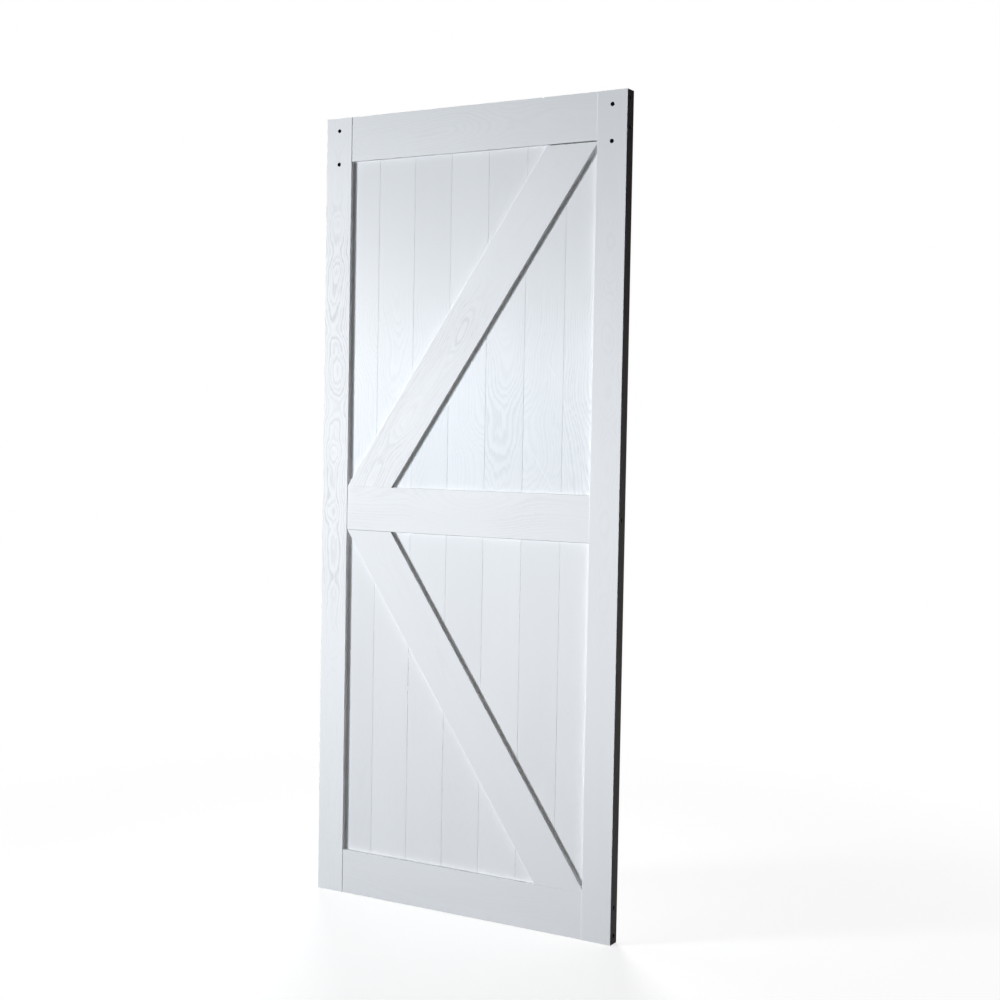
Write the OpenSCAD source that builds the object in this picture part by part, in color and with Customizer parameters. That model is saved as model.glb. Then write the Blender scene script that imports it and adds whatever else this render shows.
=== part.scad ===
// Framed and braced plank leaf for a sliding door.
// Millimetres, +Z up. The origin is the middle of the leaf's foot, half way through its
// thickness. The face with the braces looks towards -Y, and +X is on the right of that face.

/* [Leaf] */
// Overall width of the leaf
leaf_w = 914.4; // [700:0.1:1300]
// Overall height of the leaf
leaf_h = 2133.6; // [1700:0.1:2600]
// Thickness of the leaf at its stiles
leaf_t = 35; // [28:0.5:50]

/* [Frame] */
// Width of each stile
stile_w = 83.2; // [70:0.1:140]
// Height of each rail
rail_h = 120; // [80:1:180]
// Height of the middle rail's centre line above the foot
middle_rail_z = 1070; // [800:1:1300]
// Radius on the long edges of the stiles, rails and braces
arris_r = 1; // [0.5:0.1:3]
// How far the faces of the rails and braces lie behind the faces of the stiles
rail_set_back = 1.2; // [0:0.1:3]

/* [Panel grooves] */
// Depth of the grooves that hold the boards and the rails' stub tenons
groove_d = 12; // [8:0.5:16]
// Room left for the boards to swell, over their heads and at the outer edges
swell_gap = 2; // [1:0.5:4]
// Room between a stub tenon's end and the bottom of its groove
tenon_gap = 1; // [0.5:0.1:2]
// Play on each face of a board or tenon in its groove
groove_play = 0.15; // [0.05:0.05:0.4]

/* [Boards] */
// Boards side by side in each bay
board_count = 7; // [5:1:9]
// Visible width of the two end boards of a bay, the rest being shared equally
end_board_w = 87.7; // [40:0.1:120]
// Thickness of the boards
board_t = 12; // [9:0.5:16]
// Thickness of a tongue
tongue_t = 4; // [3:0.1:5]
// Length of a tongue
tongue_l = 6; // [4:0.5:9]
// Play on each face of a tongue, and between the shoulders of two boards
tongue_play = 0.15; // [0.05:0.05:0.3]
// Leg of the bevel on a board's edge, two of which make a V joint
v_leg = 0.4; // [0.2:0.1:2]

/* [Braces] */
// Width of each brace
brace_w = 120; // [80:1:150]
// How far a brace's leading edge stops short of the corner that it points to
brace_heel = 10; // [2:1:40]
// Gap between the upper brace's head and the top rail
upper_head_gap = 3.2; // [0.5:0.1:5]
// Gap between the lower brace's head and the middle rail
lower_head_gap = 0.5; // [0.2:0.1:3]
// Gap between the lower brace's foot and the bottom rail
lower_foot_gap = 0.4; // [0.2:0.1:3]
// Gap between a brace's end and the stile beside it
brace_side_gap = 0.4; // [0.2:0.1:2]

/* [Hanger holes] */
// Diameter of the bolt holes for the hanger straps
hanger_hole_d = 11; // [8:0.1:14]
// Distance from the top of the leaf to the first bolt hole
hanger_top = 34.5; // [32:0.5:36]
// Distance between the two bolt holes of a stile
hanger_pitch = 90.5; // [80:0.5:140]

/* [Connecting screws] */
// Diameter of the connecting screws' shanks
connector_d = 6.3; // [5:0.1:8]
// Length of the shanks
connector_l = 100; // [80:1:130]
// Diameter of the heads
connector_head_d = 11; // [9:0.1:13]
// Height of the heads
connector_head_h = 5; // [3:0.5:7]
// Hexagon socket in the heads, across its corners
connector_socket_d = 5.7; // [4:0.1:7]
// Diameter of the counterbores in the stiles' outer edges
counterbore_d = 12; // [10:0.1:14]
// Depth of the counterbores
counterbore_depth = 33; // [20:1:45]
// Distance from a rail's outer edge to its outer screw
connector_outer = 20.5; // [15:0.5:22]
// Distance from a rail's inner edge to its inner screw
connector_inner = 27.5; // [20:0.5:40]

/* [Brace screws] */
// Diameter of the brace screws' shanks
brace_screw_d = 4; // [3:0.1:5]
// Length of the brace screws with their heads
brace_screw_l = 20; // [16:0.5:21]
// Diameter of the countersunk heads
brace_screw_head_d = 8; // [6:0.1:9]
// Length of the brace screws' points
brace_screw_point = 3; // [2:0.5:4]

/* [Hidden] */
$fn = 48;

// Play round a screw in its hole
screw_play = 0.1;
// Extra length of a cut past the face that it opens
cut = 1;
// Diameter of a brace screw's tip
screw_tip_d = 0.4;

bay_w = leaf_w - 2 * stile_w;
upper_foot = middle_rail_z + rail_h / 2;
upper_head = leaf_h - rail_h;
lower_foot = rail_h;
lower_head = middle_rail_z - rail_h / 2;

groove_w = board_t + 2 * groove_play;
tenon_l = groove_d - tenon_gap;
rail_t = leaf_t - 2 * rail_set_back;
brace_t = (rail_t - board_t) / 2;
joint_pitch = (bay_w - 2 * end_board_w) / (board_count - 2);

// Heights of the connecting screws on each side, from the foot up
connector_zs = [
    connector_outer,
    rail_h - connector_inner,
    middle_rail_z,
    leaf_h - rail_h + connector_inner,
    leaf_h - connector_outer
];
hanger_zs = [leaf_h - hanger_top, leaf_h - hanger_top - hanger_pitch];

BOARDS = [1 : board_count];

// Where board i begins and ends across the bay, without its tongue
function board_left(i) =
    i == 1 ? -bay_w / 2 - groove_d + swell_gap
           : -bay_w / 2 + end_board_w + (i - 2) * joint_pitch + tongue_play / 2;
function board_right(i) = i == board_count ? -board_left(1) : board_left(i + 1) - tongue_play;
function board_middle(i) = -bay_w / 2 + end_board_w + (i - 1.5) * joint_pitch;

// Lean of a brace from upright. One edge starts in a corner of its bay, and the other one
// ends a heel short of the opposite corner.
function brace_lean(bay_h) =
    let (rise = bay_h - brace_heel)
    acos(brace_w / norm([bay_w, rise])) - atan2(rise, bay_w);

// Height of a brace's centre line over the bay's foot, at a place across the bay
function brace_height(bay_h, x) =
    let (lean = brace_lean(bay_h))
    (x + bay_w / 2 - cos(lean) * brace_w / 2) / tan(lean) - sin(lean) * brace_w / 2;

upper_bay_h = upper_head - upper_foot;
lower_bay_h = lower_head - lower_foot;
upper_screws = [for (i = [2 : board_count - 1])
    [board_middle(i), upper_foot + brace_height(upper_bay_h, board_middle(i))]];
lower_screws = [for (i = [2 : board_count - 1])
    [board_middle(i), lower_head - brace_height(lower_bay_h, board_middle(i))]];

// Section of a stile or rail with eased corners, centred across its thickness in X
module eased_section(width, thickness) {
    translate([-thickness / 2 + arris_r, 0])
        square([thickness - 2 * arris_r, width]);
    translate([-thickness / 2, arris_r])
        square([thickness, width - 2 * arris_r]);
    for (x = [-1, 1], y = [arris_r, width - arris_r])
        translate([x * (thickness / 2 - arris_r), y])
            circle(r = arris_r);
}

// Upright length of timber: its inner edge is on X = 0 and its outer edge towards -X
module stile_blank() {
    rotate([0, 0, 90])
        linear_extrude(leaf_h)
            eased_section(stile_w, leaf_t);
}

// Left stile, with its inner edge on X = 0
module stile() {
    difference() {
        stile_blank();
        translate([-groove_d, -groove_w / 2, -cut])
            cube([groove_d + cut, groove_w, leaf_h + 2 * cut]);
        for (z = hanger_zs)
            translate([-stile_w / 2, leaf_t / 2 + cut, z])
                rotate([90, 0, 0])
                    cylinder(d = hanger_hole_d, h = leaf_t + 2 * cut);
        for (z = connector_zs)
            translate([-stile_w, 0, z])
                connector_hole();
    }
}

// Stepped hole for a connecting screw, from the stile's outer edge along +X
module connector_hole() {
    rotate([0, 90, 0]) {
        translate([0, 0, -cut])
            cylinder(d = counterbore_d, h = counterbore_depth + cut);
        cylinder(d = connector_d + 2 * screw_play, h = stile_w + cut);
    }
}

// Rail with stub tenons, its lower edge on Z = 0. The grooves and screw places are
// heights on the rail.
module rail(grooves, screws) {
    hole_l = connector_l + counterbore_depth - stile_w + cut;
    difference() {
        union() {
            translate([-bay_w / 2, 0, 0])
                rotate([90, 0, 90])
                    linear_extrude(bay_w)
                        eased_section(rail_h, rail_t);
            translate([-bay_w / 2 - tenon_l, -board_t / 2, 0])
                cube([bay_w + 2 * tenon_l, board_t, rail_h]);
        }
        for (z = grooves)
            translate([-leaf_w / 2, -groove_w / 2, z - groove_d])
                cube([leaf_w, groove_w, 2 * groove_d]);
        for (z = screws, side = [0, 1])
            mirror([side, 0, 0])
                translate([-bay_w / 2 - tenon_l - cut, 0, z])
                    rotate([0, 90, 0])
                        cylinder(d = connector_d + 2 * screw_play, h = hole_l + tenon_l + cut);
    }
}

// Section of a board from X = 0, with a bevel, groove or tongue where an edge is jointed
module board_section(width, left_joint, right_joint) {
    half = board_t / 2;
    left_edge = left_joint
        ? [[v_leg, half], [0, half - v_leg], [0, v_leg - half], [v_leg, -half]]
        : [[0, half], [0, -half]];
    right_edge = right_joint
        ? [[width - v_leg, -half], [width, v_leg - half], [width, half - v_leg], [width - v_leg, half]]
        : [[width, -half], [width, half]];
    difference() {
        union() {
            polygon(concat(left_edge, right_edge));
            if (right_joint)
                translate([width - v_leg, -tongue_t / 2])
                    square([v_leg + tongue_l, tongue_t]);
        }
        if (left_joint)
            translate([-cut, -tongue_t / 2 - tongue_play])
                square([cut + tongue_l + 2 * tongue_play, tongue_t + 2 * tongue_play]);
    }
}

// Board i of a bay, standing in the groove of the rail below it
module board(i, foot, head, screws) {
    x = board_left(i);
    z = foot - groove_d;
    difference() {
        translate([x, 0, z])
            linear_extrude(head + groove_d - swell_gap - z)
                board_section(board_right(i) - x, i > 1, i < board_count);
        if (i > 1 && i < board_count)
            translate([screws[i - 2][0], board_t / 2, screws[i - 2][1]])
                brace_screw(screw_play);
    }
}

// Countersunk screw, driven along -Y with its head flush with Y = 0
module brace_screw(play) {
    head_h = (brace_screw_head_d - brace_screw_d) / 2;
    rotate([90, 0, 0]) {
        cylinder(d1 = brace_screw_head_d + 2 * play, d2 = brace_screw_d + 2 * play, h = head_h);
        cylinder(d = brace_screw_d + 2 * play, h = brace_screw_l - brace_screw_point);
        translate([0, 0, brace_screw_l - brace_screw_point])
            cylinder(d1 = brace_screw_d + 2 * play, d2 = screw_tip_d + 2 * play, h = brace_screw_point);
    }
}

// Brace of a bay whose foot is on Z = 0, rising from the lower left corner
module brace(bay_h, foot_gap, head_gap) {
    long = bay_w + bay_h;
    intersection() {
        translate([-bay_w / 2, 0, 0])
            rotate([0, brace_lean(bay_h), 0])
                translate([0, 0, -long / 2])
                    linear_extrude(2 * long)
                        brace_section();
        translate([-bay_w / 2 + brace_side_gap, -leaf_t, foot_gap])
            cube([bay_w - 2 * brace_side_gap, leaf_t, bay_h - foot_gap - head_gap]);
    }
}

// Section of a brace: flat on the boards, with eased corners on the face
module brace_section() {
    face = -rail_t / 2;
    translate([arris_r, face])
        square([brace_w - 2 * arris_r, brace_t]);
    translate([0, face + arris_r])
        square([brace_w, brace_t - arris_r]);
    for (x = [arris_r, brace_w - arris_r])
        translate([x, face + arris_r])
            circle(r = arris_r);
}

// Connecting screw along +X, with its head's seat on X = 0
module connecting_screw() {
    difference() {
        rotate([0, 90, 0]) {
            translate([0, 0, -connector_head_h])
                cylinder(d = connector_head_d, h = connector_head_h);
            cylinder(d = connector_d, h = connector_l);
        }
        translate([-connector_head_h - cut, 0, 0])
            rotate([0, 90, 0])
                cylinder(d = connector_socket_d, h = connector_head_h, $fn = 6);
    }
}

module connecting_screws() {
    for (z = connector_zs)
        translate([-leaf_w / 2 + counterbore_depth, 0, z])
            connecting_screw();
}

module left_stile() {
    color("#e9eef4")
        translate([-bay_w / 2, 0, 0])
            stile();
}

module right_stile() {
    color("#e9eef4")
        mirror([1, 0, 0])
            translate([-bay_w / 2, 0, 0])
                stile();
}

module top_rail() {
    color("#e4e9f0")
        translate([0, 0, upper_head])
            rail([0], [connector_inner, rail_h - connector_outer]);
}

module middle_rail() {
    color("#e4e9f0")
        translate([0, 0, lower_head])
            rail([0, rail_h], [rail_h / 2]);
}

module bottom_rail() {
    color("#e4e9f0")
        rail([rail_h], [connector_outer, rail_h - connector_inner]);
}

module upper_brace() {
    color("#e6ebf2")
        difference() {
            translate([0, 0, upper_foot])
                brace(upper_bay_h, 0, upper_head_gap);
            for (place = upper_screws)
                translate([place[0], board_t / 2, place[1]])
                    brace_screw(screw_play);
        }
}

// The same brace hung upside down from the middle rail
module lower_brace() {
    color("#e6ebf2")
        difference() {
            translate([0, 0, lower_head])
                mirror([0, 0, 1])
                    brace(lower_bay_h, lower_head_gap, lower_foot_gap);
            for (place = lower_screws)
                translate([place[0], board_t / 2, place[1]])
                    brace_screw(screw_play);
        }
}

module upper_board(i) {
    color("#e2e8f0")
        board(i, upper_foot, upper_head, upper_screws);
}

module lower_board(i) {
    color("#e2e8f0")
        board(i, lower_foot, lower_head, lower_screws);
}

module left_connecting_screws() {
    color("silver")
        connecting_screws();
}

module right_connecting_screws() {
    color("silver")
        mirror([1, 0, 0])
            connecting_screws();
}

module upper_brace_screws() {
    color("silver")
        for (place = upper_screws)
            translate([place[0], board_t / 2, place[1]])
                brace_screw(0);
}

module lower_brace_screws() {
    color("silver")
        for (place = lower_screws)
            translate([place[0], board_t / 2, place[1]])
                brace_screw(0);
}

left_stile();
right_stile();
top_rail();
middle_rail();
bottom_rail();
upper_brace();
lower_brace();
for (i = BOARDS)
    upper_board(i);
for (i = BOARDS)
    lower_board(i);
left_connecting_screws();
right_connecting_screws();
upper_brace_screws();
lower_brace_screws();
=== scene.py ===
import bmesh
import bpy
import itertools
import math
from mathutils import Matrix, Vector


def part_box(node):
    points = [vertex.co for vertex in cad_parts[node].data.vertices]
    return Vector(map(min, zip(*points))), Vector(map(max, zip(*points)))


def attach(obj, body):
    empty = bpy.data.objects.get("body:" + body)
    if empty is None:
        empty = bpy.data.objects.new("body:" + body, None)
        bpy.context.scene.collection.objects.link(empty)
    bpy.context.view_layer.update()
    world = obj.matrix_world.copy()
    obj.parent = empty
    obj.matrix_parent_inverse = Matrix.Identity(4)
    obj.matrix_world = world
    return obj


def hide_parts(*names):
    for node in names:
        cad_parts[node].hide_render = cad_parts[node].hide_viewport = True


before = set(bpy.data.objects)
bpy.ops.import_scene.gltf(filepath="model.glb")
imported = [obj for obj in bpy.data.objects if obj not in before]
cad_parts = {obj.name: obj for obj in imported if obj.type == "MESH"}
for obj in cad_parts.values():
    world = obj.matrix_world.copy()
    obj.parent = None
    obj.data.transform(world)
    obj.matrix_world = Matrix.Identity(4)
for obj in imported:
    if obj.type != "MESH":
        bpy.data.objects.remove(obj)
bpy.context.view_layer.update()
print("frame:", len(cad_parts), "nodes in place")

millimetre = 0.001  # in the scene's metres
noiseMiddle = 0.5  # a noise runs from 0 to 1 round this
noiseAxes = (1.0, 1.7, 2.3)  # a noise is shifted along all three axes, by unlike amounts


class Wire:
    # a shader socket that can be used in sums
    def __init__(self, finish, socket):
        self.finish = finish
        self.socket = socket

    def other(self, name):
        return Wire(self.finish, self.socket.node.outputs[name])

    def sum(self, operation, first, second):
        return self.finish.node("Math", {"operation": operation}, {0: first, 1: second})

    def __add__(self, value):
        return self.sum("ADD", self, value)

    def __radd__(self, value):
        return self.sum("ADD", value, self)

    def __sub__(self, value):
        return self.sum("SUBTRACT", self, value)

    def __rsub__(self, value):
        return self.sum("SUBTRACT", value, self)

    def __mul__(self, value):
        return self.sum("MULTIPLY", self, value)

    def __rmul__(self, value):
        return self.sum("MULTIPLY", value, self)

    def __truediv__(self, value):
        return self.sum("DIVIDE", self, value)

    def __pow__(self, value):
        return self.sum("POWER", self, value)

    def __abs__(self):
        return self.finish.node("Math", {"operation": "ABSOLUTE"}, {0: self})


class Finish:
    # a material or a world, and the nodes in it
    def __init__(self, owner):
        self.owner = owner
        owner.use_nodes = True
        self.tree = owner.node_tree
        self.tree.nodes.clear()

    def node(self, kind, settings=None, sockets=None, out=0):
        made = self.tree.nodes.new("ShaderNode" + kind)
        for key, value in (settings or {}).items():
            setattr(made, key, value)
        for key, value in (sockets or {}).items():
            if isinstance(value, Wire):
                self.tree.links.new(value.socket, made.inputs[key])
            else:
                made.inputs[key].default_value = value
        return Wire(self, made.outputs[out]) if made.outputs else made

    def blend(self, factor, first, second):  # colours: 0 is the factor, 6 and 7 the two colours
        return self.node("Mix", {"data_type": "RGBA"}, {0: factor, 6: first, 7: second}, 2)

    def fade(self, value, start, end, low=0.0, high=1.0):
        sockets = {"Value": value, "From Min": start, "From Max": end, "To Min": low, "To Max": high}
        return self.node("MapRange", {"interpolation_type": "SMOOTHSTEP"}, sockets)

    def laid(self, place, centre, lean, scale=(1, 1, 1)):  # coordinates in a leaning frame of their own
        sockets = {"Vector": place, "Location": centre, "Rotation": (0, lean, 0), "Scale": scale}
        return self.node("Mapping", {"vector_type": "TEXTURE"}, sockets)

    def split(self, place):  # X, with Y and Z as its others
        return self.node("SeparateXYZ", {}, {0: place})

    def stretched(self, place, size, shift):  # a noise field whose lumps have this size
        scale = tuple(1 / length for length in size)
        start = tuple(shift * step for step in noiseAxes)
        return self.node("VectorMath", {"operation": "MULTIPLY_ADD"}, {0: place, 1: scale, 2: start})

    def noise(self, place, detail=1.0):
        return self.node("TexNoise", {}, {"Vector": place, "Scale": 1.0, "Detail": detail})

    def drift(self, along, length, shift):  # a value that wanders along a line
        return self.node("TexNoise", {"noise_dimensions": "1D"},
                         {"W": along / length + shift, "Scale": 1.0, "Detail": 1.0})


def colour(tones, share=1.0):
    return (*[tone * share for tone in tones], 1.0)


def grey(level):
    return (level, level, level, 1.0)


# camera at the photograph's viewing angle

shot = {
    "place": (2.1821, -3.5400, 1.2880),
    "turn": (87.492, -1.009, 30.468),  # degrees
    "lens": 56.77,
    "sensor": 36.0,
}


def setCamera():
    data = bpy.data.cameras.new("camera")
    data.lens = shot["lens"]
    data.sensor_width = shot["sensor"]
    camera = bpy.data.objects.new("camera", data)
    camera.location = shot["place"]
    camera.rotation_euler = [math.radians(angle) for angle in shot["turn"]]
    bpy.context.scene.collection.objects.link(camera)
    bpy.context.scene.camera = camera
    print("camera set")


# studio: lamps, world and floor

lamps = {
    "key": {"place": (-5.3, -5.4, 1.70), "aim": (0.70, 0.0, 0.88), "size": (1.0, 1.0), "spread": 60,
            "watts": 42.5, "tint": (0.84, 0.92, 1.0), "mirrored": False},
    "glint": {"place": (-6.35, -5.4, 1.95), "aim": (0.3, 0.0, 1.0), "size": (0.7, 0.7), "spread": 60,
              "watts": 31, "tint": (1.0, 0.94, 0.89), "mirrored": True},
    "fill": {"place": (1.2, -5.0, 0.45), "aim": (0.40, 0.0, 0.80), "size": (1.2, 1.2), "spread": 36,
             "watts": 1.75, "tint": (1.0, 0.94, 0.86), "mirrored": False},
    "side": {"place": (4.2, -1.3, 0.9), "aim": (0.45, 0.0, 0.9), "size": (0.8, 0.8), "spread": 40,
             "watts": 0.10, "tint": (1.0, 0.97, 0.92), "mirrored": False},
    "back": {"place": (-3.0, 4.2, 4.2), "aim": (0.0, 0.0, 1.0), "size": (1.8, 1.8), "spread": 60,
             "watts": 36, "tint": (1.0, 1.0, 1.0), "mirrored": True},
    # window panes that show as a soft band on the boards
    "paneHigh": {"place": (-3.3, -5.4, 1.70), "aim": (-3.3, 0.0, 1.70), "size": (2.3, 0.45), "spread": 180,
                 "watts": 34, "tint": (0.79, 0.90, 1.0), "mirrored": True},
    "paneLow": {"place": (-3.3, -5.4, 1.12), "aim": (-3.3, 0.0, 1.12), "size": (2.3, 0.70), "spread": 180,
                "watts": 16, "tint": (0.30, 0.75, 1.0), "mirrored": True},
}

studio = {
    "ambient": (1.0, 0.92, 0.82),  # faint warm light of the room
    "ambientLevel": 0.006,
    "floorGlow": 0.78,  # with the light on the floor this makes white
    "floorPaper": 0.38,
    "floorBounce": 0.12,
    "shadowNear": 0.7,  # metres round the foot that keep the full shadow
    "shadowFar": 2.4,
    "floorHalf": 30.0,
    "floorDrop": 0.0005,
}


def setLamps():
    for name, lamp in lamps.items():
        data = bpy.data.lights.new(name, "AREA")
        data.shape = "RECTANGLE"
        data.size, data.size_y = lamp["size"]
        data.spread = math.radians(lamp["spread"])
        data.energy = lamp["watts"]
        data.color = lamp["tint"]
        item = bpy.data.objects.new(name, data)
        item.visible_glossy = lamp["mirrored"]
        item.location = lamp["place"]
        item.rotation_euler = (Vector(lamp["aim"]) - item.location).to_track_quat("-Z", "Y").to_euler()
        bpy.context.scene.collection.objects.link(item)
    print("lamps set:", ", ".join(lamps))


def seenDirectly(finish):
    rays = finish.node("LightPath", out="Is Camera Ray")
    return rays + rays.other("Is Glossy Ray") + rays.other("Is Transmission Ray")


def setWorld():
    world = bpy.data.worlds.new("studio")
    bpy.context.scene.world = world
    finish = Finish(world)
    ambient = {"Color": colour(studio["ambient"]), "Strength": studio["ambientLevel"]}
    room = finish.node("Background", {}, ambient)
    white = finish.node("Background", {}, {"Color": grey(1.0), "Strength": 1.0})
    light = finish.node("MixShader", {}, {0: seenDirectly(finish), 1: room, 2: white})
    finish.node("OutputWorld", {}, {"Surface": light})
    print("world set")


def setFloor():
    bm = bmesh.new()
    bmesh.ops.create_grid(bm, x_segments=1, y_segments=1, size=studio["floorHalf"])
    bmesh.ops.translate(bm, vec=(0, 0, -studio["floorDrop"]), verts=bm.verts)
    mesh = bpy.data.meshes.new("floor")
    bm.to_mesh(mesh)
    bm.free()
    floor = bpy.data.objects.new("floor", mesh)
    bpy.context.scene.collection.objects.link(floor)

    finish = Finish(bpy.data.materials.new("pale floor"))
    place = finish.node("TexCoord", out="Object")
    reach = finish.node("VectorMath", {"operation": "LENGTH"}, {0: place}, "Value")
    near = finish.fade(reach, studio["shadowNear"], studio["shadowFar"], 1.0, 0.0)
    glow = finish.node("Emission", {}, {"Color": grey(1.0), "Strength": studio["floorGlow"]})
    paper = finish.node("BsdfDiffuse", {}, {"Color": grey(studio["floorPaper"])})
    shaded = finish.node("AddShader", {}, {0: glow, 1: paper})
    white = finish.node("Emission", {}, {"Color": grey(1.0), "Strength": 1.0})
    seen = finish.node("MixShader", {}, {0: near, 1: white, 2: shaded})
    bounce = finish.node("BsdfDiffuse", {}, {"Color": grey(studio["floorBounce"])})
    surface = finish.node("MixShader", {}, {0: seenDirectly(finish), 1: bounce, 2: seen})
    finish.node("OutputMaterial", {}, {"Surface": surface})
    mesh.materials.append(finish.owner)
    print("floor set")


# white film pressed with an ash grain, on every timber piece; lengths in millimetres

film = {
    "white": (0.850, 0.850, 0.862),
    "specular": 0.5,
    "tintStep": 0.012,  # difference from one piece to the next
    "tintTurn": 2.4,  # radians from one piece to the next in the wave that sets its tint
    # grain lines, as shares of a growth ring
    "lineStart": 0.18,
    "lineEnd": 0.76,
    "lineLeast": 0.50,  # the faintest ring beside the deepest one
    "unevenRings": 1.6,
    "unevenLength": 30.0,
    "besideTurn": 2.1,  # radians, as tintTurn, for the side that the pith is on
    "waveSize": (24.0, 24.0, 110.0),
    "fibreSize": (3.6, 3.6, 48.0),
    # pores, in the lines and between them
    "poreSize": (0.9, 0.9, 15.0),
    "poreLow": 0.54,
    "poreHigh": 0.70,
    "lineUnpored": 0.72,  # depth of a line where it has no pore
    "strayPore": 0.10,  # depth of a pore beside the lines
    # patches where the grain is pressed less deep
    "patchSize": (110.0, 110.0, 330.0),
    "patchLow": 0.36,
    "patchHigh": 0.58,
    "fullReach": 0.65,  # share of a piece's reach that is pressed to its full depth
    # how deep each piece's film is pressed beside the left stile's
    "rightStile": 0.25,
    "rails": {"top_rail": 0.6, "middle_rail": 1.0, "bottom_rail": 0.5},
    "upperBoards": (0.9, 0.9, 0.8, 0.8, 1.35, 0.8, 1.6),
    "lowerBay": 0.2,
    # clouds of tone and gloss
    "cloudSize": (90.0, 90.0, 420.0),
    "cloudContrast": 1.6,
    "cloudShade": 0.035,
    "cloudRough": 0.25,
}

# how far apart the noises lie, from one piece to the next and within a piece
noiseShift = {"piece": 11.3, "sway": 40, "fibre": 9, "rings": 70, "patches": 21, "clouds": 3}

# how each kind of piece was cut from its log, millimetres: width of a ring, distance of the pith
# behind and beside the middle, how far and how soon it wanders, the log's taper, how ragged the
# rings are, and the middle and reach of the stretch where the grain is pressed deepest; then the
# film's tone and gloss, with the depth of its relief in metres
stileCut = {"ring": 5.4, "heart": 46, "lift": 30, "swing": 120, "taper": 0.0,
            "beside": 4, "sway": 34, "bend": 260, "wave": 9.0, "ragged": 4.0,
            "middle": 260, "reach": 640, "deep": 1.0, "fadeLeast": 0.75, "endsLeast": 0.2,
            "lighten": 0.06, "shade": 0.22, "press": 0.00008, "rough": 0.40, "lineRough": 0.9}
railCut = {"ring": 6.6, "heart": 54, "lift": 90, "swing": 420, "taper": 0.0,
           "beside": 62, "sway": 70, "bend": 520, "wave": 8.0, "ragged": 5.0,
           "middle": -150, "reach": 500, "deep": 0.65, "fadeLeast": 0.3, "endsLeast": 0.3,
           "lighten": 0.02, "shade": 0.16, "press": 0.00004, "rough": 0.40, "lineRough": 0.9}
braceCut = {"ring": 6.4, "heart": 34, "lift": 34, "swing": 210, "taper": 0.02,
            "beside": 16, "sway": 60, "bend": 300, "wave": 13.0, "ragged": 4.5,
            "middle": -330, "reach": 480, "deep": 0.9, "fadeLeast": 0.5, "endsLeast": 0.16,
            "lighten": 0.02, "shade": 0.21, "press": 0.00006, "rough": 0.38, "lineRough": 0.9}
boardCut = {"ring": 6.6, "heart": 58, "lift": 40, "swing": 220, "taper": 0.15,
            "beside": 74, "sway": 50, "bend": 300, "wave": 11.0, "ragged": 6.0,
            "middle": -190, "reach": 330, "deep": 0.9, "fadeLeast": 0.35, "endsLeast": 0.10,
            "lighten": 0.01, "shade": 0.13, "press": 0.00001, "rough": 0.25, "lineRough": 0.0}


def ringDistance(finish, local, cut, seed):
    # distance from a pith that wanders along the piece
    shift = noiseShift["piece"] * seed
    spot = finish.split(local)
    along = spot.other("Z")
    sway = cut["sway"] * (finish.drift(along, cut["bend"], shift + noiseShift["sway"]) - noiseMiddle)
    side = spot + (cut["beside"] * math.sin(film["besideTurn"] * seed) + sway)
    heart = cut["heart"] + cut["lift"] * (finish.drift(along, cut["swing"], shift) - noiseMiddle)
    below = spot.other("Y") + (heart - cut["taper"] * (along - cut["middle"]))
    waves = finish.stretched(local, film["waveSize"], shift)
    wave = finish.noise(waves, detail=2.0) - noiseMiddle
    fibres = finish.stretched(local, film["fibreSize"], shift + noiseShift["fibre"])
    fibre = finish.noise(fibres) - noiseMiddle
    return (side * side + below * below) ** 0.5 + cut["wave"] * wave + cut["ragged"] * fibre


def grainLines(finish, radius, cut, seed):
    # growth rings of uneven width and depth
    shift = noiseShift["piece"] * seed
    uneven = finish.drift(radius, film["unevenLength"], shift + noiseShift["rings"])
    years = radius / cut["ring"] + film["unevenRings"] * uneven
    ring = finish.node("Math", {"operation": "FRACT"}, {0: years})
    year = finish.node("Math", {"operation": "FLOOR"}, {0: years})
    deep = finish.node("TexWhiteNoise", {"noise_dimensions": "1D"}, {"W": year + shift}, "Value")
    line = finish.fade(ring, 0.0, film["lineStart"])
    line = line * finish.fade(ring, film["lineStart"], film["lineEnd"], 1.0, 0.0)
    return line * (film["lineLeast"] + (1 - film["lineLeast"]) * deep)


def pressedDepth(finish, local, cut, seed, share):
    shift = noiseShift["piece"] * seed + noiseShift["patches"]
    patches = finish.noise(finish.stretched(local, film["patchSize"], shift))
    deepest = share * cut["deep"]
    depth = finish.fade(patches, film["patchLow"], film["patchHigh"], deepest * cut["fadeLeast"], deepest)
    away = abs(finish.split(local).other("Z") - cut["middle"])
    fullReach = film["fullReach"] * cut["reach"]
    return depth * finish.fade(away, fullReach, cut["reach"], 1.0, cut["endsLeast"])


def pressedGrain(finish, local, cut, seed, share):
    line = grainLines(finish, ringDistance(finish, local, cut, seed), cut, seed)
    dots = finish.noise(finish.stretched(local, film["poreSize"], noiseShift["piece"] * seed))
    pores = finish.fade(dots, film["poreLow"], film["poreHigh"])
    line = line * (film["lineUnpored"] + (1 - film["lineUnpored"]) * pores)
    return (line + film["strayPore"] * pores) * pressedDepth(finish, local, cut, seed, share)


# light rubs on one board: ends in metres across and up the leaf
scuffs = {
    "node": "upper_board_6",
    "ends": [((0.2365, 1.469), (0.264, 1.425)), ((0.198, 1.237), (0.266, 1.134))],
    "width": 0.0032,
    "clearAcross": 0.3,  # shares of the half width and half length that don't fade
    "clearAlong": 0.7,
    "white": (0.93, 0.94, 0.95),
    "strength": 0.55,
}


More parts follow.
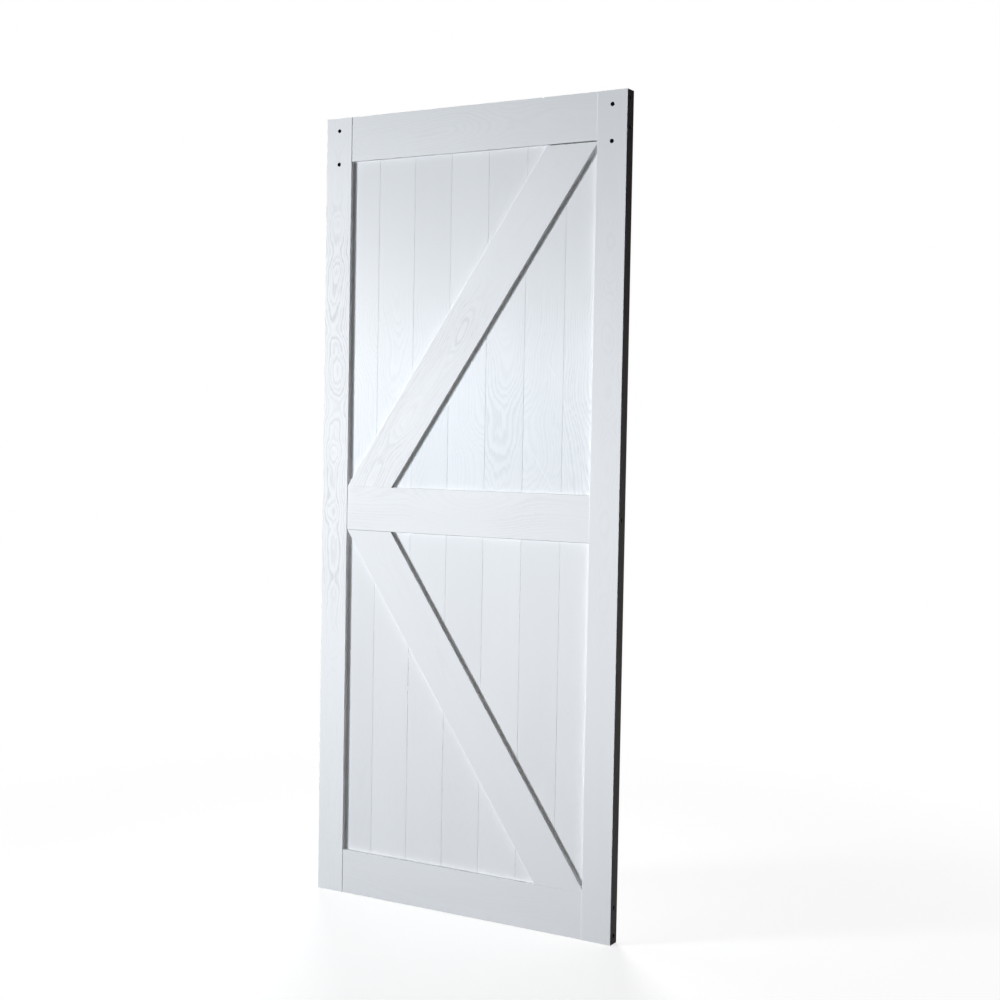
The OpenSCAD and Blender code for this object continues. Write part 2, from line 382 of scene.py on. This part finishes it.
def scuffMask(finish, place):
    total = 0.0
    for (x0, z0), (x1, z1) in scuffs["ends"]:
        middle = ((x0 + x1) / 2, 0, (z0 + z1) / 2)
        size = (scuffs["width"] / 2, 1, math.hypot(x1 - x0, z1 - z0) / 2)
        spot = finish.split(finish.laid(place, middle, math.atan2(x1 - x0, z1 - z0), size))
        across = finish.fade(abs(spot), scuffs["clearAcross"], 1.0, 1.0, 0.0)
        along = finish.fade(abs(spot.other("Z")), scuffs["clearAlong"], 1.0, 1.0, 0.0)
        total = total + across * along
    return total


# painted shade on the boards in the open joint over the upper brace's head, metres
slit = {
    "nodes": ("upper_board_6", "upper_board_7"),
    "paintedShade": (0.20, 0.19, 0.18),
    "edge": 0.0004,
    "runOut": 0.004,
}


# where the painted shade in the open joint lies
def slitShadeMask(finish, place):
    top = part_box("upper_brace")[1].z
    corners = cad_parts["upper_brace"].data.vertices
    start = min(vert.co.x for vert in corners if vert.co.z > top - slit["edge"])
    spot = finish.split(place)
    over = finish.fade(spot.other("Z"), top - slit["edge"], top + slit["edge"])
    return over * finish.fade(spot, start, start + slit["runOut"])


# the stiles' outer edges are matt and darkened as painted shade, and their bores show bare board painted
# near black as shade; millimetres
stileEdge = {
    "shadedPrimer": (0.76, 0.76, 0.765),
    "shadedPrimerWorn": (0.71, 0.71, 0.71),
    "rimStart": 0.1,  # where the shaded primer runs out round the edge
    "rimEnd": 0.6,
    # bare board in the bores, painted near black as shade
    "coreShadeColour": (0.028, 0.022, 0.016),
    "coreRough": 0.4,  # more than the film's
    "skin": 0.35,  # film and primer over the core
    "skinEdge": 0.10,
}


def bareCoreShade(finish, local, half, outerSide):
    # deeper than the skin from every side
    spot = finish.split(local)
    depths = (half.x - spot * outerSide, half.x + spot * outerSide,
              half.y - abs(spot.other("Y")), half.z - abs(spot.other("Z")))
    bareShade = 1.0
    for depth in depths:
        bareShade = bareShade * finish.fade(depth, stileEdge["skin"], stileEdge["skin"] + stileEdge["skinEdge"])
    return bareShade


def shadedPrimedEdge(finish, local, half, outerSide, mottle, bareShade):
    rim = half.x - finish.split(local) * outerSide
    share = finish.fade(rim, stileEdge["rimStart"], stileEdge["rimEnd"], 1.0, 0.0)
    # painted shade: the primer is darker than the film
    shadedPrimed = finish.blend(mottle, colour(stileEdge["shadedPrimer"]), colour(stileEdge["shadedPrimerWorn"]))
    return share, finish.blend(bareShade, shadedPrimed, colour(stileEdge["coreShadeColour"]))


# a brace's sides and eased corners are matt, with painted shade that darkens them, the corners most; metres
# in from its sides
braceSide = {
    "width": 0.120,  # of the brace, across its length
    "heel": 0.010,  # how far its other long edge stops short of the bay's far corner
    "cornerStart": 0.001,
    "cornerEnd": 0.0005,
    "flatStart": 0.00005,
    "flatEnd": 0.00001,
    "cornerShadeTone": 0.72,
    "sideShadeTone": 0.86,
}


def mattShadedSides(finish, place, axis, lean, white):
    across = abs(finish.split(finish.laid(place, axis, lean)))
    side = braceSide["width"] / 2
    share = finish.fade(across, side - braceSide["cornerStart"], side - braceSide["cornerEnd"])
    flat = finish.fade(across, side - braceSide["flatStart"], side - braceSide["flatEnd"])
    # painted shade: the eased corners darkest, the flat sides a little less
    corner = colour(white, braceSide["cornerShadeTone"])
    return share, finish.blend(flat, corner, colour(white, braceSide["sideShadeTone"]))


mattPaint = {"rough": 0.9, "specular": 0.0}


def grainFilm(name, cut, lean, seed, share=1.0, outerSide=0, axis=None):
    low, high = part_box(name)
    half = (high - low) / 2 / millimetre
    finish = Finish(bpy.data.materials.new("film " + name.replace("_", " ")))
    place = finish.node("TexCoord", out="Object")
    local = finish.laid(place, (low + high) / 2, lean, (millimetre,) * 3)
    grain = pressedGrain(finish, local, cut, seed, share)
    shift = noiseShift["piece"] * seed + noiseShift["clouds"]
    cloud = finish.noise(finish.stretched(local, film["cloudSize"], shift), detail=2.0) - noiseMiddle
    mottle = noiseMiddle + film["cloudContrast"] * cloud

    step = film["tintStep"] * math.sin(film["tintTurn"] * seed)
    white = [tone * (1 + step + share * cut["lighten"]) for tone in film["white"]]
    surface = finish.blend(mottle, colour(white), colour(white, 1 - film["cloudShade"]))
    surface = finish.blend(grain, surface, colour(white, 1 - cut["shade"]))
    rough = cut["rough"] * (1 + cut["lineRough"] * grain + film["cloudRough"] * cloud)
    if name == scuffs["node"]:
        rubbed = scuffs["strength"] * scuffMask(finish, place)
        surface = finish.blend(rubbed, surface, colour(scuffs["white"]))
    # painted shade in the open joint over the upper brace's head
    if name in slit["nodes"]:
        surface = finish.blend(slitShadeMask(finish, place), surface, colour(slit["paintedShade"]))

    mattShare = None
    if outerSide:
        # the bores' bare board is painted near black: painted shade
        bareShade = bareCoreShade(finish, local, half, outerSide)
        surface = finish.blend(bareShade, surface, colour(stileEdge["coreShadeColour"]))
        rough = rough + stileEdge["coreRough"] * bareShade
        mattShare, shadedPaint = shadedPrimedEdge(finish, local, half, outerSide, mottle, bareShade)
    # the brace's sides and eased corners take painted shade
    if axis is not None:
        mattShare, shadedPaint = mattShadedSides(finish, place, axis, lean, white)

    relief = finish.node("Bump", {}, {"Strength": 1.0, "Distance": cut["press"], "Height": 1 - grain})
    sockets = {"Base Color": surface, "Roughness": rough, "Normal": relief}
    shader = finish.node("BsdfPrincipled", {}, {**sockets, "Specular IOR Level": film["specular"]})
    if mattShare is not None:
        sockets = {"Base Color": shadedPaint, "Roughness": mattPaint["rough"]}
        matt = finish.node("BsdfPrincipled", {}, {**sockets, "Specular IOR Level": mattPaint["specular"]})
        shader = finish.node("MixShader", {}, {0: mattShare, 1: shader, 2: matt})
    finish.node("OutputMaterial", {}, {"Surface": shader})
    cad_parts[name].material_slots[0].material = finish.owner


def braceLean(bayWidth, bayHeight):
    rise = bayHeight - braceSide["heel"]
    return math.acos(braceSide["width"] / math.hypot(bayWidth, rise)) - math.atan2(rise, bayWidth)


def braceAxis(corner, lean):  # one long edge runs into this corner of the bay
    half = braceSide["width"] / 2
    return corner + Vector((math.cos(lean) * half, 0, -math.sin(lean) * half))


def coverBraces(seeds):
    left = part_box("left_stile")[1].x
    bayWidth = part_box("right_stile")[0].x - left
    top, middle, bottom = [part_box(name) for name in film["rails"]]
    lean = braceLean(bayWidth, top[0].z - middle[1].z)
    axis = braceAxis(Vector((left, 0, middle[1].z)), lean)
    grainFilm("upper_brace", braceCut, lean, next(seeds), axis=axis)
    # the lower brace is the same one hung upside down
    lean = braceLean(bayWidth, middle[0].z - bottom[1].z)
    axis = braceAxis(Vector((left, 0, middle[0].z)), -lean)
    grainFilm("lower_brace", braceCut, math.pi - lean, next(seeds), film["lowerBay"], axis=axis)


def coverTimber():
    seeds = itertools.count(1)
    grainFilm("left_stile", stileCut, 0.0, next(seeds), outerSide=-1)
    grainFilm("right_stile", stileCut, 0.0, next(seeds), film["rightStile"], outerSide=1)
    for name, share in film["rails"].items():
        grainFilm(name, railCut, math.radians(90), next(seeds), share)
    coverBraces(seeds)
    lowerBoards = [film["lowerBay"]] * len(film["upperBoards"])
    for bay, boards in (("upper", film["upperBoards"]), ("lower", lowerBoards)):
        for number, share in enumerate(boards, 1):
            grainFilm(f"{bay}_board_{number}", boardCut, 0.0, next(seeds), share)
    print("timber covered")


# screws: shapes in millimetres with the head's top on Z = 0 and the point downwards

braceScrew = {
    "sides": 48,
    "arm": 2.2, "armHalf": 0.59, "recess": 1.5, "recessTaper": 0.55,  # cross recess
    "rings": [(3.70, 0.0), (3.88, -0.05), (3.93, -0.13), (1.98, -2.08), (1.45, -2.6), (1.45, -17.2),
              (1.0, -18.3), (0.2, -20.0)],  # radius and height down the screw
    "crest": 2.0, "root": 1.35, "pitch": 1.8, "flank": 0.55, "stepsPerTurn": 24,
    "threadTop": -3.4, "threadEnd": -19.0, "pointTop": -17.2, "pointEnd": -20.0, "pointLeast": 0.05,
}

frameScrew = {
    "sides": 48,
    "socket": 2.85, "recess": 4.0, "recessTaper": 1.0,  # hexagon socket, to its corners
    "rings": [(4.95, 0.0), (5.3, -0.12), (5.47, -0.4), (5.5, -0.7), (5.5, -4.6), (5.35, -4.9), (5.1, -5.0),
              (3.13, -5.0), (3.13, -42.0), (2.35, -43.5), (2.35, -102.5), (1.5, -105.0)],
    "crest": 3.13, "root": 2.2, "pitch": 3.0, "flank": 0.9, "stepsPerTurn": 24,
    "threadTop": -45.0, "threadEnd": -103.0, "pointTop": -100.0, "pointEnd": -110.0, "pointLeast": 0.05,
}

zinc = {
    "bright": (0.66, 0.67, 0.68),
    "dull": (0.52, 0.525, 0.53),
    "dullStart": 0.35,
    "dullEnd": 0.65,
    "rough": 0.34,
    "roughSpread": 0.16,
    "cloud": 1.6,  # millimetres
    "cloudShift": 2.0,
    "sharpAngle": 32,  # degrees, edges past this are drawn sharp
}


def ringEdges(verts):
    inRing = set(verts)
    return [edge for edge in {e for v in verts for e in v.link_edges} if inRing.issuperset(edge.verts)]


def crossRecess(bm, size):
    bmesh.ops.create_grid(bm, x_segments=3, y_segments=3, size=size["arm"])
    for vert in bm.verts:
        for axis in (0, 1):
            if abs(vert.co[axis]) < size["arm"] / 2:  # the grid's inner lines
                vert.co[axis] = math.copysign(size["armHalf"], vert.co[axis])
    corners = [face for face in bm.faces
               if min(abs(offset) for offset in face.calc_center_median().xy) > size["armHalf"]]
    bmesh.ops.delete(bm, geom=corners, context="FACES")


def hexRecess(bm, size):
    bmesh.ops.create_circle(bm, cap_ends=True, segments=6, radius=size["socket"])


def recessedTop(bm, size):
    rim = [edge for edge in bm.edges if edge.is_boundary]
    bmesh.ops.subdivide_edges(bm, edges=rim, cuts=size["sides"] // len(rim) - 1)
    mouth = bm.faces[:]
    radius = size["rings"][0][0]
    outer = bmesh.ops.create_circle(bm, cap_ends=False, segments=size["sides"], radius=radius)["verts"]
    bmesh.ops.bridge_loops(bm, edges=[edge for edge in bm.edges if len(edge.link_faces) < 2])
    sunk = bmesh.ops.extrude_face_region(bm, geom=mouth)["geom"]
    verts = [item for item in sunk if isinstance(item, bmesh.types.BMVert)]
    bmesh.ops.scale(bm, vec=(size["recessTaper"], size["recessTaper"], 1), verts=verts)
    bmesh.ops.translate(bm, vec=(0, 0, -size["recess"]), verts=verts)
    bmesh.ops.delete(bm, geom=mouth, context="FACES")
    return ringEdges(outer)


def turnedBody(bm, ring, size):
    radius, height = size["rings"][0]
    for nextRadius, nextHeight in size["rings"][1:]:
        grown = bmesh.ops.extrude_edge_only(bm, edges=ring)["geom"]
        verts = [item for item in grown if isinstance(item, bmesh.types.BMVert)]
        bmesh.ops.scale(bm, vec=(nextRadius / radius, nextRadius / radius, 1), verts=verts)
        bmesh.ops.translate(bm, vec=(0, 0, nextHeight - height), verts=verts)
        ring = ringEdges(verts)
        radius, height = nextRadius, nextHeight
    bmesh.ops.contextual_create(bm, geom=ring)


def threadRidge(bm, size):
    body = set(bm.verts)
    top = size["threadTop"]
    flank = size["flank"] / 2
    corners = ((size["root"], flank), (size["crest"], 0.0), (size["root"], -flank))
    verts = [bm.verts.new((radius, 0, top + rise)) for radius, rise in corners]
    first = bm.faces.new(verts)
    perTurn = size["stepsPerTurn"]
    steps = round((top - size["threadEnd"]) / size["pitch"] * perTurn)
    spun = bmesh.ops.spin(bm, geom=verts + first.edges[:], cent=(0, 0, 0), axis=(0, 0, 1),
                          dvec=(0, 0, -size["pitch"] / perTurn), angle=2 * math.pi * steps / perTurn,
                          steps=steps, use_merge=False)["geom_last"]
    bmesh.ops.contextual_create(bm, geom=[item for item in spun if isinstance(item, bmesh.types.BMEdge)])
    # the ridge runs out with the point
    for vert in set(bm.verts) - body:
        if vert.co.z < size["pointTop"]:
            left = (vert.co.z - size["pointEnd"]) / (size["pointTop"] - size["pointEnd"])
            vert.co.xy *= max(left, size["pointLeast"])


def screwMesh(name, size, recess):
    bm = bmesh.new()
    recess(bm, size)
    turnedBody(bm, recessedTop(bm, size), size)
    threadRidge(bm, size)
    bmesh.ops.recalc_face_normals(bm, faces=bm.faces)
    mesh = bpy.data.meshes.new(name)
    bm.to_mesh(mesh)
    bm.free()
    return mesh


def screwBoxes(node):
    sameSpot = 0.001 * millimetre  # corners of loose triangles that count as one
    bm = bmesh.new()
    bm.from_mesh(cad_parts[node].data)
    bmesh.ops.remove_doubles(bm, verts=bm.verts, dist=sameSpot)
    waiting = set(bm.verts)
    boxes = []
    while waiting:
        reached = [waiting.pop()]
        for vert in reached:
            beside = {edge.other_vert(vert) for edge in vert.link_edges} & waiting
            waiting -= beside
            reached.extend(beside)
        low = Vector([min(vert.co[axis] for vert in reached) for axis in range(3)])
        high = Vector([max(vert.co[axis] for vert in reached) for axis in range(3)])
        boxes.append((low, high))
    bm.free()
    return sorted(boxes, key=lambda box: (round(box[0].z, 4), round(box[0].x, 4)))


def zincFinish():
    finish = Finish(bpy.data.materials.new("zinc plating"))
    place = finish.node("TexCoord", out="Object")
    clouds = finish.stretched(place, (millimetre * zinc["cloud"],) * 3, zinc["cloudShift"])
    cloud = finish.noise(clouds, detail=3.0)
    dull = finish.fade(cloud, zinc["dullStart"], zinc["dullEnd"])
    surface = finish.blend(dull, colour(zinc["bright"]), colour(zinc["dull"]))
    rough = zinc["rough"] + zinc["roughSpread"] * (cloud - noiseMiddle)
    shader = finish.node("BsdfPrincipled", {}, {"Base Color": surface, "Roughness": rough, "Metallic": 1.0})
    finish.node("OutputMaterial", {}, {"Surface": shader})
    return finish.owner


def screwRow(name, node, shape, turn, outwards):
    bm = bmesh.new()
    for low, high in screwBoxes(node):
        before = len(bm.verts)
        bm.from_mesh(shape)
        bm.verts.ensure_lookup_table()
        head = (low + high) / 2 + (high - low) / 2 * outwards
        place = Matrix.Translation(head) @ turn @ Matrix.Scale(millimetre, 4)
        bmesh.ops.transform(bm, matrix=place, verts=bm.verts[before:])
    mesh = bpy.data.meshes.new(name)
    bm.to_mesh(mesh)
    bm.free()
    mesh.shade_smooth()
    mesh.set_sharp_from_angle(angle=math.radians(zinc["sharpAngle"]))
    return mesh


def driveScrews():
    plating = zincFinish()
    braceMesh = screwMesh("brace screw", braceScrew, crossRecess)
    frameMesh = screwMesh("frame screw", frameScrew, hexRecess)
    # the turn that brings a head outwards, and the side that it is then on
    quarter = math.radians(90)
    toBack = Matrix.Rotation(-quarter, 4, "X"), Vector((0, 1, 0))
    toLeft = Matrix.Rotation(-quarter, 4, "Y"), Vector((-1, 0, 0))
    toRight = Matrix.Rotation(quarter, 4, "Y"), Vector((1, 0, 0))
    rows = [("upper_brace_screws", "upper_brace_fixings", braceMesh, toBack),
            ("lower_brace_screws", "lower_brace_fixings", braceMesh, toBack),
            ("left_connecting_screws", "left_frame_fixings", frameMesh, toLeft),
            ("right_connecting_screws", "right_frame_fixings", frameMesh, toRight)]
    for node, name, shape, (turn, outwards) in rows:
        mesh = screwRow(name, node, shape, turn, outwards)
        mesh.materials.append(plating)
        piece = bpy.data.objects.new(name, mesh)
        bpy.context.scene.collection.objects.link(piece)
        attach(piece, "root")
        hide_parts(node)
        print("screws driven:", name, len(mesh.polygons), "faces")


setCamera()
setLamps()
setWorld()
setFloor()
coverTimber()
driveScrews()

bpy.context.scene.view_settings.view_transform = "Standard"
